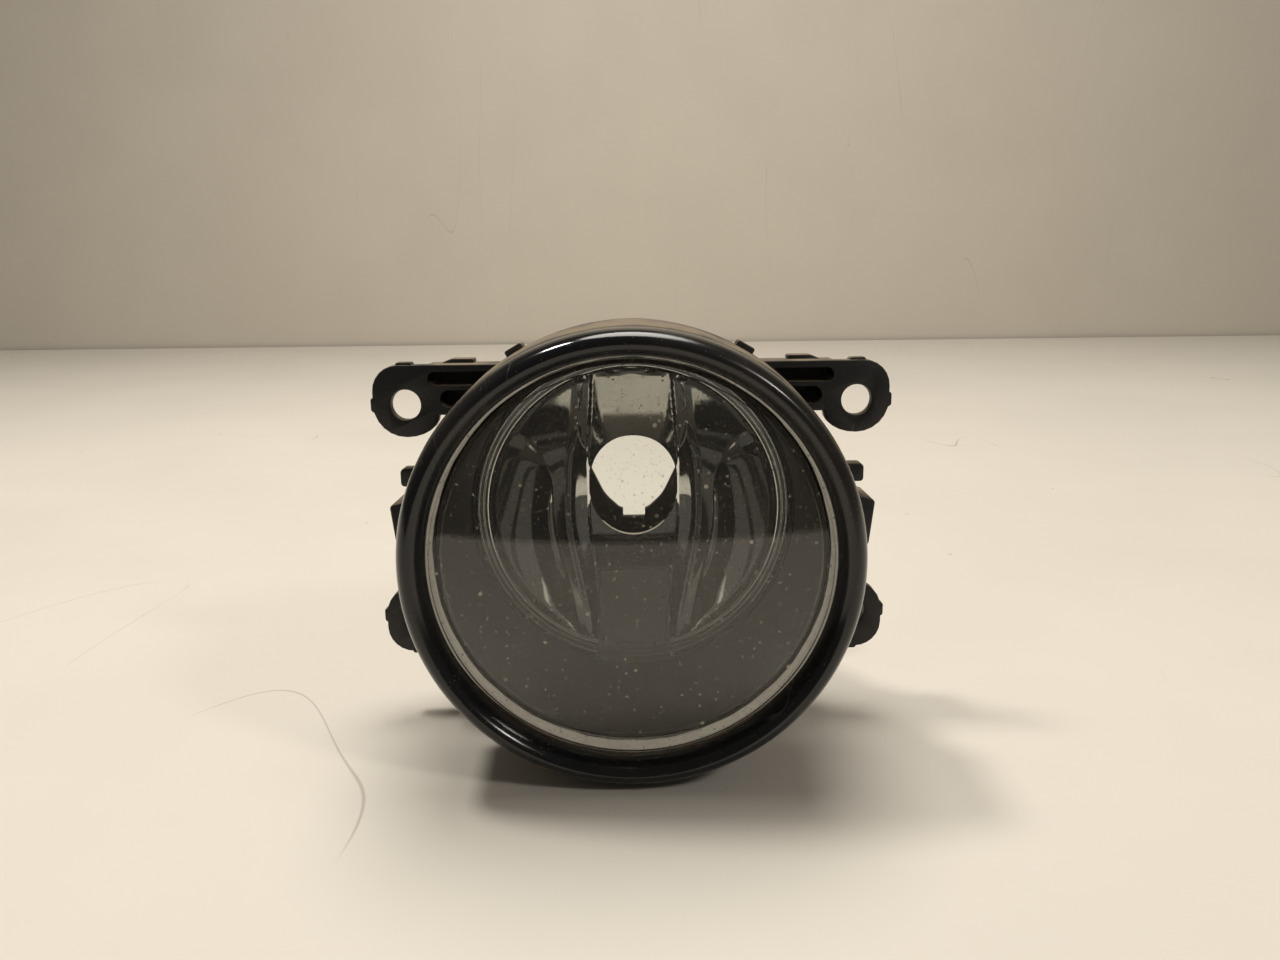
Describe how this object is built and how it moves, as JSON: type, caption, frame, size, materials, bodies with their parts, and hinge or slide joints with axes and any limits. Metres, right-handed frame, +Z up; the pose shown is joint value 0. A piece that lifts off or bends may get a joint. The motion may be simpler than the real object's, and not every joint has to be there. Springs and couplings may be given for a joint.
{
  "type": "fog light",
  "caption": "Round front fog light: clear domed glass lens, gloss black bezel, fluted mirror bowl and keyed bulb seat, tilting in a four-eared bracket with a screw adjuster.",
  "frame": {"origin": "centre of the four ear holes, on the front face of the ears", "axes": "+X across the lamp to its right seen from the front, -Y the way the lens looks, +Z up"},
  "size_m": [0.118, 0.0936, 0.0936],
  "materials": {
    "bracket_black": "moulded glass-filled nylon, dusty on top",
    "housing_black": "moulded plastic under brown road dust",
    "bezel_gloss_black": "gloss moulded, lightly scuffed",
    "lens_glass": "clear pressed glass with dust specks",
    "pale_sealant": "pale grey sealing bead",
    "trim_grey": "dark grey moulded",
    "reflector_mirror": "vacuum metallised plastic",
    "seat_grey": "dark heat-proof moulding",
    "black_rubber": "matt rubber",
    "screw_steel": "zinc plated",
    "white_nylon": "natural nylon"
  },
  "bodies": {
    "bracket": {"mounting_bracket": "bracket_black", "pivot_bush_left": "white_nylon", "pivot_bush_right": "white_nylon"},
    "lamp": {"lamp_housing": "housing_black", "front_bezel": "bezel_gloss_black", "lens": "lens_glass", "lens_seal": "pale_sealant", "inner_trim_ring": "trim_grey", "reflector": "reflector_mirror", "bulb_seat": "seat_grey", "breather_elbow": "black_rubber"},
    "adjuster_screw": {"adjuster_screw": "screw_steel", "adjuster_retainer": "screw_steel"},
    "adjuster_nut": {"adjuster_nut": "white_nylon"}
  },
  "joints": [
    {"name": "lamp_tilt", "type": "hinge", "parent": "bracket", "child": "lamp", "pos_m": [0, 0.004, -0.0025], "axis": [1, 0, 0], "range_deg": [-4, 4]},
    {"name": "adjuster_spin", "type": "hinge", "parent": "bracket", "child": "adjuster_screw", "pos_m": [0, 0.035, -0.0435], "axis": [0, -1, 0], "range_deg": [-520, 520]},
    {"name": "adjuster_nut_slide", "type": "slide", "parent": "bracket", "child": "adjuster_nut", "axis": [0, 1, 0], "range_m": [-0.003, 0.003]}
  ],
  "couplings": [
    {"joint": "adjuster_spin", "follows": "lamp_tilt", "ratio": 128.81},
    {"joint": "adjuster_nut_slide", "follows": "lamp_tilt", "m_per_rad": 0.041}
  ]
}
